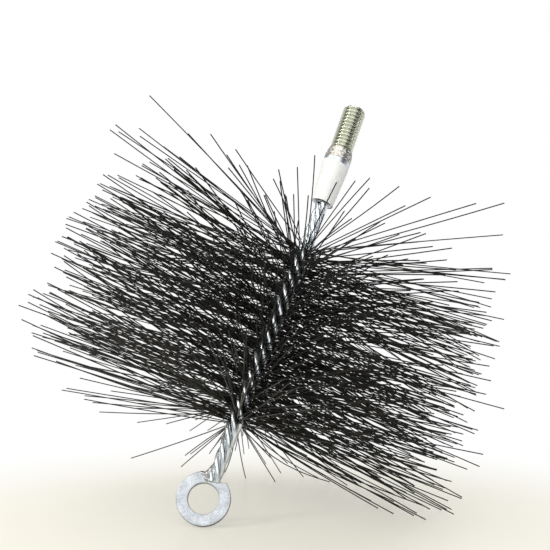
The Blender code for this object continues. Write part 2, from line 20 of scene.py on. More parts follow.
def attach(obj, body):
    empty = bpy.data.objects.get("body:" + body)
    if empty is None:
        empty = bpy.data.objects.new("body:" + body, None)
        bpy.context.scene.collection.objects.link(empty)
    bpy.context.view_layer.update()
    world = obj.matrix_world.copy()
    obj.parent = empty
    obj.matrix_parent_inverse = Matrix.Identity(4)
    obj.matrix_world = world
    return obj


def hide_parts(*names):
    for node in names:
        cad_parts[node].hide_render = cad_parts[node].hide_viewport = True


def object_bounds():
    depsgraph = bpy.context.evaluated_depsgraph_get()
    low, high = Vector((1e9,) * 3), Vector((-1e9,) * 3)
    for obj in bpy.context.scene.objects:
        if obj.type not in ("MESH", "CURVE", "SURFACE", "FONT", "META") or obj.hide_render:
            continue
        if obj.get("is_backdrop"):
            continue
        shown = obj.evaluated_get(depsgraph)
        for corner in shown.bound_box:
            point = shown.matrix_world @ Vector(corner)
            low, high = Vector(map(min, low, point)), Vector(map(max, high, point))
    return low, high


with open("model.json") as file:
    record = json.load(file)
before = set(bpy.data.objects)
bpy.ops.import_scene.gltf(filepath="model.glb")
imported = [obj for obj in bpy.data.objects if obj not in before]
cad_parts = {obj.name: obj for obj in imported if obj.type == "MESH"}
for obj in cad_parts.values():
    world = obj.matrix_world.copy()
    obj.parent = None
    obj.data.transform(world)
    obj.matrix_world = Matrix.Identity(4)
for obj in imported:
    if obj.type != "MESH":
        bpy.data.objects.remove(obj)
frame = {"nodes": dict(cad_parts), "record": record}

bl_info = {
    "name": "Chimney Sweep Brush",
    "version": (1, 0, 0),
    "blender": (4, 5, 0),
    "location": "View3D > Sidebar > Sweep Brush",
    "description": "Builds the pieces of a twisted wire flue brush around its frame",
    "category": "Object",
}

MM = 0.001
BODY = "root"


# Small helpers

def linear(code):
    """Turn an sRGB hex colour such as C9CECB into linear values."""
    parts = [int(code[start:start + 2], 16) / 255 for start in (0, 2, 4)]
    return tuple(part / 12.92 if part <= 0.04045 else ((part + 0.055) / 1.055) ** 2.4 for part in parts)


def add_node(tree, kind, *values, **words):
    """Add a node and return it.

    Its kind leaves out the prefix, and its operation or data type may follow. A kind in capitals is an
    operation of the Math node. The values set or link its inputs in order. A word with a capital is one
    more input, by its name, and any other word is a setting. A node given as a value stands for its first
    output. Inputs and outputs that the settings switch off don't count.
    """
    kind, _, choice = (f"Math {kind}" if kind.isupper() else kind).partition(" ")
    kinds = [prefix + kind for prefix in ("ShaderNode", "GeometryNode", "FunctionNode", "Node")]
    node = tree.nodes.new(next(kind for kind in kinds if hasattr(bpy.types, kind)))
    if choice:
        setattr(node, "operation" if hasattr(node, "operation") else "data_type", choice)
    for name, value in words.items():
        if name.islower():
            setattr(node, name, value)
    used = [socket for socket in node.inputs if socket.enabled]
    names = {socket.name.replace(" ", "_"): socket for socket in used}
    pairs = [*zip(used, values), *((names[name], words[name]) for name in words if not name.islower())]
    for socket, value in pairs:
        if isinstance(value, bpy.types.Node):
            value = next(output for output in value.outputs if output.enabled)
        if isinstance(value, bpy.types.NodeSocket):
            tree.links.new(value, socket)
        else:
            socket.default_value = value
    return node


def ease(share):
    """Go smoothly from 0 to 1 as the share does."""
    share = np.clip(share, 0, 1)
    return share * share * (3 - 2 * share)


def number_value(name, description, default, kind=FloatProperty, **limits):
    """Describe a plain number that a user can set."""
    return kind(name=name, description=description, default=default, **limits)


def length_value(name, description, millimetres):
    """Describe a length that a user can set."""
    return number_value(name, description, millimetres * MM, unit="LENGTH", precision=5)


def angle_value(name, description, degrees):
    """Describe an angle that a user can set, kept in radians."""
    return number_value(name, description, math.radians(degrees), subtype="ANGLE")


def colour_value(name, description, code):
    """Describe a colour that a user can set."""
    return number_value(
        name, description, linear(code), FloatVectorProperty, subtype="COLOR", size=3, min=0, max=1
    )


# Sizes and colours that a user can change

class RingSettings(PropertyGroup):
    """Sizes of the ring eye and of its weld."""
    outer_diameter: length_value("Outer diameter", "Across the ring", 28.0)
    hole_diameter: length_value("Hole diameter", "Across the hole", 16.0)
    thickness: length_value("Thickness", "Thickness of the plate", 3.5)
    edge_round: length_value("Edge round", "Radius on the plate's edges", 0.35)
    seat_wall: length_value("Seat wall", "Metal left between the hole and the stem's seat", 1.1)
    seat_slope: angle_value("Seat slope", "Tilt of the face that the stem stands on", 13.0)
    weld_inset: length_value("Weld inset", "How far the weld lies below the ring's top", 1.0)


class StemSettings(PropertyGroup):
    """Sizes of the twisted stem."""
    wires: number_value("Wires", "Number of wires in the stem", 4, IntProperty, min=2)
    wire_diameter: length_value("Wire diameter", "Thickness of each stem wire", 3.0)
    pitch: length_value("Lay", "Height of one turn of the twist", 33.0)
    frame_space: length_value("Frame spacing", "Space between the frame's bare wires", 0.48)
    tight_space: length_value("Bare spacing", "Space between the bare wires", 0.15)
    open_space: length_value("Held spacing", "Space between the wires where they hold bristles", 0.95)
    opening_length: length_value("Opening length", "Height over which the wires open", 12.0)
    axis_offset: length_value("Axis offset", "From the ring's centre to the stem's axis", 6.6)
    foot_shift: length_value("Foot shift", "How far the foot jogs towards the ring's centre", 4.8)
    bend_length: length_value("Bend length", "Height over which the stem bends", 160.0)


class BristleSettings(PropertyGroup):
    """Sizes and spread of the bristles."""
    added: number_value("Added bristles", "Bristles between those of the frame", 650, IntProperty, min=4)
    crowding: number_value("Crowding", "How much closer added bristles stand at the ring", 1.12)
    start_height: length_value("Start height", "Lowest bristle above the ring's centre", 42.0)
    row_length: length_value("Row length", "Length of stem that holds bristles", 102.0)
    brush_diameter: length_value("Brush diameter", "Across the tips of the longest bristles", 250.0)
    wire_diameter: length_value("Bristle diameter", "Thickness of each bristle", 0.6)
    shortening: number_value("Shortening", "Share by which the shortest bristle is shorter", 0.26)
    stud_splay: angle_value("Stud end splay", "Lean of the last bristles towards the stud", 6.0)
    stud_spread: angle_value("Stud end spread", "Random lean of the last bristles", 8.0)
    sideways_power: number_value("Sideways power", "How far that lean keeps to the ring's plane", 1.5)
    ring_splay: angle_value("Ring end splay", "Lean of the first bristles towards the ring", 2.0)
    ring_spread: angle_value("Ring end spread", "Random lean of the first bristles", 5.0)
    end_power: number_value("End power", "How sharply the spread grows near the ends", 5.0)
    tilt: angle_value("Tilt", "Lean of the added bristles, down on one side and up on the other", 4.0)
    lean_jitter: angle_value("Lean jitter", "Random lean of each added bristle", 5.0)
    turn_jitter: angle_value("Turn jitter", "Random turn of each added bristle about the stem", 38.0)
    bend: length_value("Bend", "How far a tip strays from a straight line", 3.0)
    seed: number_value("Seed", "Start of the random draws", 5, IntProperty)


class FerruleSettings(PropertyGroup):
    """Sizes of the ferrule and of the label on it."""
    bottom_height: length_value("Bottom height", "Height of the ferrule's mouth", 171.5)
    length: length_value("Length", "Length of the ferrule", 27.0)
    top_diameter: length_value("Top diameter", "Across the ferrule at the stud", 15.0)
    mouth_wall: length_value("Mouth wall", "Thickness of the tube at its mouth", 1.6)
    label_thickness: length_value("Label thickness", "Thickness of the paper", 0.16)
    label_top_inset: length_value("Label top inset", "Bare metal above the label", 2.4)
    label_bottom_inset: length_value("Label bottom inset", "Bare metal below the label", 0.6)
    label_skew: length_value("Label skew", "How far the label was stuck on crooked", 0.8)


class StudSettings(PropertyGroup):
    """Sizes of the threaded stud and of its weld."""
    diameter: length_value("Diameter", "Outer diameter of the thread", 12.7)
    pitch: length_value("Pitch", "Height of one turn of the thread", 2.117)
    depth: length_value("Depth", "Depth of the thread", 1.3)
    length: length_value("Length", "Length of the threaded part", 26.5)
    chamfer: length_value("Chamfer", "Height of the chamfer at the end", 1.8)
    weld_height: length_value("Weld height", "Height of the weld under the thread", 5.5)
    seat_gap: length_value("Seat gap", "Space between neighbouring pieces of the frame", 0.3)


class FinishSettings(PropertyGroup):
    """Colours of the finishes and of the table."""
    zinc: colour_value("Zinc plate", "Plating on the ring", "BABEC3")
    stud_zinc: colour_value("Stud plate", "Plating on the stud, slightly yellow", "CDCFBF")
    galvanised: colour_value("Galvanised wire", "Coating on the stem wires", "E4E9EC")
    bristle: colour_value("Tempered wire", "Black oxide on the bristles", "1B1A17")
    weld: colour_value("Weld metal", "Bare weld bead at the stud", "CCC8C0")
    ring_weld: colour_value("Ring weld", "Brushed weld bead at the ring", "BAB8BB")
    paper: colour_value("Paper", "White label paper", "F9F9F8")
    table: colour_value("Table", "Pale table under the brush", "F4F1E4")


class SweepBrushSettings(PropertyGroup):
    """Everything that a user can change."""
    ring: PointerProperty(type=RingSettings)
    stem: PointerProperty(type=StemSettings)
    bristles: PointerProperty(type=BristleSettings)
    ferrule: PointerProperty(type=FerruleSettings)
    stud: PointerProperty(type=StudSettings)
    finish: PointerProperty(type=FinishSettings)


# Places that follow from the sizes

def stem_radius_for(stem, space):
    """Return the radius on which the stem wires' centres lie, for a space between them."""
    return (stem.wire_diameter + space) / 2 / math.sin(math.pi / stem.wires)


def stem_centre(brush, height):
    """Return how far the stem's centre line lies from the ring's centre."""
    straight = ease((height - brush.ring.outer_diameter / 2) / brush.stem.bend_length)
    return brush.stem.axis_offset - brush.stem.foot_shift * (1 - straight)


def ring_seat_height(brush, across):
    """Return the height of the ring's cut face at a distance across the brush."""
    ring = brush.ring
    return ring.hole_diameter / 2 + ring.seat_wall + across * math.tan(ring.seat_slope)


def bare_stem_radius(brush):
    """Return the radius over the four wires where the stem is bare."""
    return stem_radius_for(brush.stem, brush.stem.tight_space) + brush.stem.wire_diameter / 2


def bundle_radius(brush):
    """Return the radius of the room that the frame leaves for the bare stem."""
    stem = brush.stem
    return stem_radius_for(stem, stem.frame_space) + stem.wire_diameter / 2 + brush.stud.seat_gap


def ferrule_radius(brush, height):
    """Return the outer radius of the tapered ferrule at a height."""
    share = (height - brush.ferrule.bottom_height) / brush.ferrule.length
    low = bundle_radius(brush) + brush.ferrule.mouth_wall
    return low + (brush.ferrule.top_diameter / 2 - low) * share


def ferrule_top(brush):
    """Return the height of the ferrule's upper end."""
    return brush.ferrule.bottom_height + brush.ferrule.length


def thread_bottom(brush):
    """Return the height of the thread's lower end."""
    return ferrule_top(brush) + brush.stud.weld_height + 2 * brush.stud.seat_gap


def thread_top(brush):
    """Return the height of the stud's end."""
    return thread_bottom(brush) + brush.stud.length


def brush_matrix(brush):
    """Return the matrix from the brush's axes to the frame's, from the frame's mounts."""
    mounts = {mount["name"]: mount for mount in frame["record"]["mounts"]}
    up = Vector(mounts["stud_end"]["axis"]).normalized()
    back = -Vector(mounts["ring_face"]["axis"]).normalized()
    side = back.cross(up).normalized()
    end = Vector(mounts["stud_end"]["pos_m"])
    origin = end - side * brush.stem.axis_offset - up * thread_top(brush)
    matrix = Matrix((side, back, up)).transposed().to_4x4()
    matrix.translation = origin
    return matrix


# Meshes

def object_from_mesh(name, mesh):
    """Link a mesh as an object at the origin."""
    thing = bpy.data.objects.new(name, mesh)
    bpy.context.scene.collection.objects.link(thing)
    return thing


def object_from_shape(name, shape):
    """Turn a bmesh that is done into an object at the origin."""
    mesh = bpy.data.meshes.new(name)
    shape.to_mesh(mesh)
    shape.free()
    return object_from_mesh(name, mesh)


def grid_object(name, places, across=0.0, wrap_around=True, cap_ends=False):
    """Make a mesh from rows of points, moved across the brush, joined round and optionally capped."""
    places = np.array(places) + np.array([across, 0, 0])
    columns = places.shape[1]
    shape = bmesh.new()
    points = [[shape.verts.new(place) for place in row] for row in places]
    for row, above in zip(points, points[1:]):
        for column in range(columns if wrap_around else columns - 1):
            after = (column + 1) % columns
            shape.faces.new((row[column], row[after], above[after], above[column]))
    if cap_ends:
        shape.faces.new(points[0][::-1])
        shape.faces.new(points[-1])
    bmesh.ops.remove_doubles(shape, verts=shape.verts, dist=0.001 * MM)
    bmesh.ops.recalc_face_normals(shape, faces=shape.faces)
    return object_from_shape(name, shape)


def direction_at(angle):
    """Return the direction at an angle."""
    return Vector((math.cos(angle), math.sin(angle)))


def turned_object(name, brush, profile, columns, roughness, grain):
    """Make a capped, slightly rough mesh from a profile of (radius, height) turned about the stem."""
    rows = []
    for radius, height in profile:
        row = []
        for angle in np.linspace(0, math.tau, columns, endpoint=False):
            direction = direction_at(angle).to_3d()
            place = direction * radius + Vector((0, 0, height))
            row.append(place + direction * (roughness * noise.noise(place / grain)))
        rows.append(row)
    return grid_object(name, rows, brush.stem.axis_offset, cap_ends=True)


def apply_modifiers(thing):
    """Turn what an object's modifiers give into its plain mesh."""
    graph = bpy.context.evaluated_depsgraph_get()
    mesh = bpy.data.meshes.new_from_object(thing.evaluated_get(graph))
    thing.modifiers.clear()
    thing.data = mesh
    return thing


def finish_piece(thing, brush, material, nodes, sharp_degrees=None):
    """Shade a piece smooth between its sharp edges, add it to the body and hide what it stands for in the
    frame.

    A piece with a material is also set in the frame's axes. A tree has done both for one without.
    """
    if sharp_degrees:
        thing.data.shade_smooth()
        thing.data.set_sharp_from_angle(angle=math.radians(sharp_degrees))
    if material:
        thing.data.transform(brush_matrix(brush))
        thing.data.materials.append(material)
    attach(thing, BODY)
    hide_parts(*nodes)


# Materials

# Most of a noise pattern lies between these two values
PATTERN_MIDDLE = (0.3, 0.7)


def new_material(name):
    """Make a material with an empty tree, and return it with its node adder."""
    material = bpy.data.materials.new(name)
    material.use_nodes = True
    material.node_tree.nodes.clear()
    return material, partial(add_node, material.node_tree)


def surface_noise(add, size, detail, stretch=(1, 1, 1), place=None):
    """Add a noise pattern of a real size, stretched along an axis where the finish is drawn."""
    place = place or add("TexCoord").outputs["Object"]
    return add("TexNoise", add("Mapping", place, Scale=stretch), Scale=1 / size, Detail=detail)


def dress(material, add, colour, tones, roughness=None, bumps=None, metallic=1.0, **words):
    """Give a material its shader, varied by patterns, with any more of its inputs by name.

    A pattern comes with the darker and the lighter tone of the colour, with the least and the greatest
    roughness, or with the depth and the strength of its bumps.
    """
    pattern, darker, lighter = tones
    dark = (*(part * darker for part in colour), 1)
    light = (*(min(part * lighter, 1) for part in colour), 1)
    words["Base_Color"] = add("Mix RGBA", add("MapRange", pattern, *PATTERN_MIDDLE, 0, 1), dark, light)
    if roughness:
        pattern, low, high = roughness
        words["Roughness"] = add("MapRange", pattern, *PATTERN_MIDDLE, low, high)
    if bumps:
        pattern, depth, strength = bumps
        words["Normal"] = add("Bump", Height=pattern, Distance=depth, Strength=strength)
    add("OutputMaterial", add("BsdfPrincipled", Metallic=metallic, **words))
    return material


def zinc_plate_material(brush):
    """Bright zinc plate on blanked sheet: satin, with a fine grain and small scuffs from tumbling."""
    material, add = new_material("bright_zinc_plate")
    # The plating's own grain is under 0.1 mm, too fine to show, so it is drawn this coarse
    grain = surface_noise(add, 0.7 * MM, 3)
    cloud = surface_noise(add, 5.0 * MM, 2)
    mottle = add("MULTIPLY_ADD", grain, 0.6, add("MULTIPLY", cloud, 0.4))
    return dress(
        material, add, brush.finish.zinc,
        tones=(mottle, 0.55, 1.4), roughness=(grain, 0.3, 0.46), bumps=(grain, 0.03 * MM, 0.9),
    )


def stud_zinc_material(brush):
    """Yellowish zinc plate on a rolled thread: fine grooves run round it and draw its gloss along it."""
    material, add = new_material("passivated_zinc_stud")
    cloud = surface_noise(add, 2.5 * MM, 3)
    # The grain is under 0.1 mm here too, and is drawn as coarse as it needs to show
    grain = surface_noise(add, 0.35 * MM, 2)
    axis = add("CombineXYZ", *brush_matrix(brush).to_3x3().col[2])
    return dress(
        material, add, brush.finish.stud_zinc,
        tones=(cloud, 0.86, 1.06), roughness=(grain, 0.2, 0.28), bumps=(grain, 0.012 * MM, 0.6),
        Tangent=axis, Anisotropic=0.85,
    )


def galvanised_wire_material(brush):
    """Galvanised wire: bright, with fine streaks along the wire from the drawing die."""
    material, add = new_material("galvanised_drawn_wire")
    along = add("Attribute", attribute_name="wire_surface").outputs["Vector"]
    # The die's marks are under 0.1 mm wide, too fine to show, so they are drawn this coarse
    streaks = surface_noise(add, 0.9 * MM, 3, stretch=(1, 1, 0.06), place=along)
    spots = surface_noise(add, 1.6 * MM, 2)
    return dress(
        material, add, brush.finish.galvanised,
        tones=(spots, 0.88, 1.04), roughness=(streaks, 0.24, 0.32), bumps=(streaks, 0.002 * MM, 0.5),
    )


def ferrule_material(brush):
    """Galvanised tube: satin, with cloudy spangle."""
    material, add = new_material("galvanised_tube")
    cloud = surface_noise(add, 2.0 * MM, 3)
    return dress(
        material, add, brush.finish.galvanised,
        tones=(cloud, 0.62, 0.98), roughness=(cloud, 0.28, 0.45), bumps=(cloud, 0.04 * MM, 0.7),
    )


def bristle_material(brush):
    """Tempered spring wire: blue-black oxide with a low sheen, each wire a little different."""
    material, add = new_material("black_tempered_wire")
    shade = add("Attribute", attribute_name="wire_shade").outputs["Fac"]
    return dress(
        material, add, brush.finish.bristle,
        tones=(shade, 0.6, 1.9), roughness=(shade, 0.34, 0.5), metallic=0.5,
    )


def weld_material(brush):
    """Weld bead: bare grey-brown steel with fine ripples, scale and small spatter."""
    material, add = new_material("bare_weld_bead")
    ripple = surface_noise(add, 0.8 * MM, 4)
    stain = surface_noise(add, 2.2 * MM, 2)
    return dress(
        material, add, brush.finish.weld,
        tones=(stain, 0.82, 1.14), roughness=(ripple, 0.28, 0.46), bumps=(ripple, 0.07 * MM, 0.8),
        metallic=0.9,
    )


def ring_weld_material(brush):
    """Weld bead that was brushed clean: dull grey, with soft ripples and hardly any scale."""
    material, add = new_material("brushed_weld_bead")
    ripple = surface_noise(add, 1.4 * MM, 2)
    return dress(
        material, add, brush.finish.ring_weld,
        tones=(ripple, 0.75, 1.15), roughness=(ripple, 0.3, 0.42), bumps=(ripple, 0.04 * MM, 0.6),
        metallic=0.95,
    )


def bright_weld_material(brush):
    """Weld metal that was wiped with zinc: smooth silver with a soft grain."""
    material, add = new_material("zinc_wiped_weld")
    cloud = surface_noise(add, 1.6 * MM, 2)
    return dress(
        material, add, brush.finish.galvanised,
        tones=(cloud, 0.8, 1.04), roughness=(cloud, 0.26, 0.42), bumps=(cloud, 0.06 * MM, 0.8),
    )


def paper_material(brush):
    """Coated label paper: smooth white, with a faint fibre and a slight gloss."""
    material, add = new_material("coated_label_paper")
    # Paper fibres are under 0.05 mm thick, too fine to show, so they are drawn this coarse
    fibre = surface_noise(add, 0.4 * MM, 3)
    cloud = surface_noise(add, 5.0 * MM, 1)
    return dress(
        material, add, brush.finish.paper,
        tones=(cloud, 0.95, 1.02), bumps=(fibre, 0.015 * MM, 0.6), metallic=0.0, Roughness=0.42,
    )


# Node trees

SOCKET_KINDS = {int: "Int", float: "Float", tuple: "Vector", bpy.types.Material: "Material"}


def new_tree(name, values):
    """Make a geometry tree with an input for each value. Return it, its node adder and its inputs."""
    tree = bpy.data.node_groups.new(name, "GeometryNodeTree")
    for in_out in ("INPUT", "OUTPUT"):
        tree.interface.new_socket("Geometry", in_out=in_out, socket_type="NodeSocketGeometry")
    for label, value in values.items():
        kind = f"NodeSocket{SOCKET_KINDS[type(value)]}"
        tree.interface.new_socket(label, in_out="INPUT", socket_type=kind)
    add = partial(add_node, tree)
    return tree, add, add("GroupInput").outputs


def run_tree(name, tree, values, start=None):
    """Run a tree with its inputs set, and keep the result as a plain mesh."""
    thing = object_from_mesh(name, start or bpy.data.meshes.new(name))
    modifier = thing.modifiers.new("shape", "NODES")
    modifier.node_group = tree
    for socket in tree.interface.items_tree:
        if socket.name in values:
            modifier[socket.identifier] = values[socket.name]
    return apply_modifiers(thing)


def end_tree(add, geometry, source):
    """Close a tree: smooth faces, real geometry and its material."""
    real = add("RealizeInstances", add("SetShadeSmooth", geometry))
    add("GroupOutput", add("SetMaterial", real, Material=source["Material"]))


def property_values(group, labels):
    """Return the values of the settings that have these labels, such as Row Length for row_length."""
    return {label: getattr(group, label.lower().replace(" ", "_")) for label in labels}


def common_values(brush, material, sides):
    """Return the values that both trees need: the stem's line, the brush's place and a material."""
    matrix = brush_matrix(brush)
    return {
        **property_values(brush.stem, ("Pitch", "Axis Offset", "Foot Shift", "Bend Length")),
        "Bend From": brush.ring.outer_diameter / 2,
        "Sides": sides,
        "Brush Turn": tuple(matrix.to_euler()),
        "Brush Place": tuple(matrix.translation),
        "Material": material,
    }


def in_frame(add, source, vector, move=True):
    """Turn a vector from the brush's axes to the frame's, and move it there if it is a place."""
    turned = add("RotateVector", vector, add("EulerToRotation", source["Brush Turn"]))
    return add("VectorMath ADD", turned, source["Brush Place"]) if move else turned


def smooth_step(add, height, start, length, low=0.0, high=1.0):
    """Go smoothly from one value at a height to another a length further up."""
    end = add("ADD", start, length)
    return add("MapRange", height, start, end, low, high, interpolation_type="SMOOTHSTEP")


def beside_stem(add, source, radius, angle, height):
    """Give the place at a radius and an angle round the stem's line, which jogs at its foot."""
    unbent = smooth_step(add, height, source["Bend From"], source["Bend Length"], 1.0, 0.0)
    centre = add("SUBTRACT", source["Axis Offset"], add("MULTIPLY", source["Foot Shift"], unbent))
    across = add("MULTIPLY_ADD", radius, add("COSINE", angle), centre)
    deep = add("MULTIPLY", radius, add("SINE", angle))
    return in_frame(add, source, add("CombineXYZ", across, deep, height))


def round_section(add, source):
    """Give the round section of a wire."""
    return add("CurvePrimitiveCircle", source["Sides"], add("DIVIDE", source["Wire Diameter"], 2.0))


def stem_wire_tree(values):
    """Build the tree of a stem wire: a helix that opens where it holds bristles and jogs at its foot."""
    tree, add, source = new_tree("twisted_stem_wire", values)
    foot = add("CombineXYZ", 0, 0, source["Bottom"])
    line = add("CurvePrimitiveLine", foot, add("CombineXYZ", 0, 0, source["Top"]))
    line = add("ResampleCurve", line, Count=source["Steps"])
    height = add("SeparateXYZ", add("InputPosition")).outputs["Z"]
    opening_length = source["Opening Length"]
    opening_from = add("SUBTRACT", source["Bristles From"], opening_length)
    opening = smooth_step(add, height, opening_from, opening_length)
    closing = smooth_step(add, height, source["Bristles To"], opening_length, 1.0, 0.0)
    openness = add("MINIMUM", opening, closing)
    widening = add("SUBTRACT", source["Open Radius"], source["Tight Radius"])
    radius = add("MULTIPLY_ADD", widening, openness, source["Tight Radius"])
    turns = add("DIVIDE", height, source["Pitch"])
    angle = add("MULTIPLY_ADD", turns, -math.tau, source["Start Angle"])
    helix = add("SetPosition", line, Position=beside_stem(add, source, radius, angle, height))

    # The finish's streaks follow the wire: a place in its section, and how far along it that lies
    along = add("SplineParameter").outputs["Length"]
    helix = add("StoreNamedAttribute FLOAT", helix, Name="wire_along", Value=along)
    section, around = round_section(add, source), add("InputPosition")
    section = add("StoreNamedAttribute FLOAT_VECTOR", section, Name="wire_around", Value=around)
    wire = add("CurveToMesh", helix, section, Fill_Caps=True)
    lengthwise = add("CombineXYZ", 0, 0, add("InputNamedAttribute FLOAT", "wire_along"))
    around = add("InputNamedAttribute FLOAT_VECTOR", "wire_around")
    surface = add("VectorMath ADD", around, lengthwise)
    wire = add("StoreNamedAttribute FLOAT_VECTOR", wire, Name="wire_surface", Value=surface)
    end_tree(add, wire, source)
    return tree


def bristle_tree(values):
    """Build the tree of the bristles: the frame's own and those between them, resting on the table."""
    tree, add, source = new_tree("bristle_rows", values)

    def draw(low, high, number, kind="FLOAT"):
        """Draw a random value for each bristle, each draw with its own number."""
        seed = add("ADD", source["Seed"], float(number))
        return add(f"RandomValue {kind}", Min=low, Max=high, Seed=seed)

    index = add("InputIndex")
    row = add("FLOORED_MODULO", index, source["Rows"])
    station = add("ADD", index, draw(0.0, 1.0, 1))
    share = add("POWER", add("DIVIDE", station, source["Added Bristles"]), source["Crowding"])
    height = add("MULTIPLY_ADD", share, source["Row Length"], source["Start Height"])

    # Lean: nearly square to the stem, with a wider spread near both ends and sideways at the stud
    turns = add("DIVIDE", height, source["Pitch"])
    row_turn = add("DIVIDE", add("ADD", row, 0.5), source["Rows"])
    angle = add("MULTIPLY", add("SUBTRACT", row_turn, turns), math.tau)
    sideways = add("ABSOLUTE", add("COSINE", angle))
    sideways = add("POWER", sideways, source["Sideways Power"])
    side = add("MULTIPLY_ADD", share, 2.0, -1.0)
    stud_end = add("POWER", add("MAXIMUM", side, 0.0), source["End Power"])
    stud_end = add("MULTIPLY", stud_end, sideways)
    ring_side = add("MAXIMUM", add("MULTIPLY", side, -1.0), 0.0)
    ring_end = add("POWER", ring_side, source["End Power"])
    spread = add("MULTIPLY_ADD", source["Stud Spread"], stud_end, source["Lean Jitter"])
    spread = add("MULTIPLY_ADD", source["Ring Spread"], ring_end, spread)
    splay = add("MULTIPLY", source["Stud Splay"], stud_end)
    splay = add("SUBTRACT", splay, add("MULTIPLY", source["Ring Splay"], ring_end))
    lean = add("MULTIPLY_ADD", spread, draw(-1.0, 1.0, 2), splay)

    # Heading: out of the gap between two stem wires, with a random turn
    heading = add("MULTIPLY_ADD", source["Turn Jitter"], draw(-1.0, 1.0, 3), angle)
    tilt = add("MULTIPLY", source["Tilt"], add("COSINE", heading))
    lean = add("SUBTRACT", lean, tilt)
    outward = add("CombineXYZ", add("COSINE", heading), add("SINE", heading), add("TANGENT", lean))
    outward = in_frame(add, source, add("VectorMath NORMALIZE", outward), move=False)
    throat = beside_stem(add, source, source["Throat Radius"], angle, height)

    # Reach: shortened at random, and never past the frame's walls
    cut = add("MULTIPLY", source["Shortening"], draw(0.0, 1.0, 4))
    reach = add("MULTIPLY", source["Brush Radius"], add("SUBTRACT", 1.0, cut))
    reach = add("SUBTRACT", reach, source["Throat Radius"])
    beyond = add("VectorMath MAXIMUM", add("VectorMath SIGN", outward), (0.0, 0.0, 0.0))
    wall = add("VectorMath SUBTRACT", source["Room High"], source["Room Low"])
    wall = add("VectorMath MULTIPLY_ADD", wall, beyond, source["Room Low"])
    room = add("VectorMath DIVIDE", add("VectorMath SUBTRACT", wall, throat), outward)
    room = add("SeparateXYZ", room).outputs
    above = add("Mix FLOAT", add("SeparateXYZ", beyond).outputs["Z"], 1.0, room["Z"])
    nearest = add("MINIMUM", add("MINIMUM", room["X"], room["Y"]), above)
    nearest = add("MULTIPLY", nearest, draw(0.95, 1.0, 5))
    reach = add("MINIMUM", reach, nearest)
    inside = add("SUBTRACT", source["Throat Radius"], source["Root Radius"])
    root = add("VectorMath SUBTRACT", throat, add("VectorMath SCALE", outward, inside))
    run = add("VectorMath SCALE", outward, add("ADD", reach, inside))

    # Each bristle is one instance of a line that is then laid along its own path
    points = add("Points", source["Added Bristles"])
    points = add("StoreNamedAttribute FLOAT_VECTOR", points, Name="bristle_root", Value=root)
    points = add("StoreNamedAttribute FLOAT_VECTOR", points, Name="bristle_run", Value=run)
    join = add("JoinGeometry", points)
    tree.links.new(add("MeshToPoints", source["Geometry"]).outputs[0], join.inputs[0])
    stray = add("VectorMath SCALE", draw((-1, -1, -1), (1, 1, 1), 6, "FLOAT_VECTOR"), source["Bend"])
    points = add("StoreNamedAttribute FLOAT_VECTOR", join, Name="bristle_stray", Value=stray)
    points = add("StoreNamedAttribute FLOAT", points, Name="wire_shade", Value=draw(0.0, 1.0, 7))
    line = add("ResampleCurve", add("CurvePrimitiveLine", (0, 0, 0), (0, 0, 1)), Count=source["Points"])
    bristles = add("RealizeInstances", add("InstanceOnPoints", points, Instance=line))

    # Path: straight, with a stray tip, and bent up like a cantilever where the table is in its way
    part = add("SplineParameter").outputs["Factor"]
    part_squared = add("MULTIPLY", part, part)
    names = ("bristle_root", "bristle_run", "bristle_stray")
    root, run, stray = (add("InputNamedAttribute FLOAT_VECTOR", name) for name in names)
    tip = add("VectorMath ADD", add("VectorMath ADD", root, run), stray)
    resting = add("MULTIPLY", source["Wire Diameter"], RESTING_SHARE)
    sunk = add("SUBTRACT", resting, add("SeparateXYZ", tip).outputs["Z"])
    sunk = add("MAXIMUM", sunk, 0.0)
    bending = add("MULTIPLY", part_squared, add("MULTIPLY_ADD", part, -0.5, 1.5))
    lift = add("CombineXYZ", 0, 0, add("MULTIPLY", sunk, bending))
    path = add("VectorMath ADD", root, add("VectorMath SCALE", run, part))
    path = add("VectorMath ADD", path, add("VectorMath SCALE", stray, part_squared))
    path = add("VectorMath ADD", path, lift)
    path = add("VectorMath MAXIMUM", path, source["Room Low"])
    path = add("VectorMath MINIMUM", path, source["Room High"])
    bristles = add("SetPosition", bristles, Position=path)
    bristles = add("CurveToMesh", bristles, round_section(add, source), Fill_Caps=True)
    end_tree(add, bristles, source)
    return tree


# How the frame's bristles are told apart: far from the stem lie only tips, and an edge in a tip is short
MERGE_DISTANCE = 0.002 * MM
TIP_FROM = 35 * MM
TIP_EDGE = 25 * MM

# A bristle rests on the table with its middle this share of its diameter above it. The frame's bristles
# with lower tips than this were cut off flat there
RESTING_SHARE = 0.55
CUT_TIP_HEIGHT = 1.5 * MM


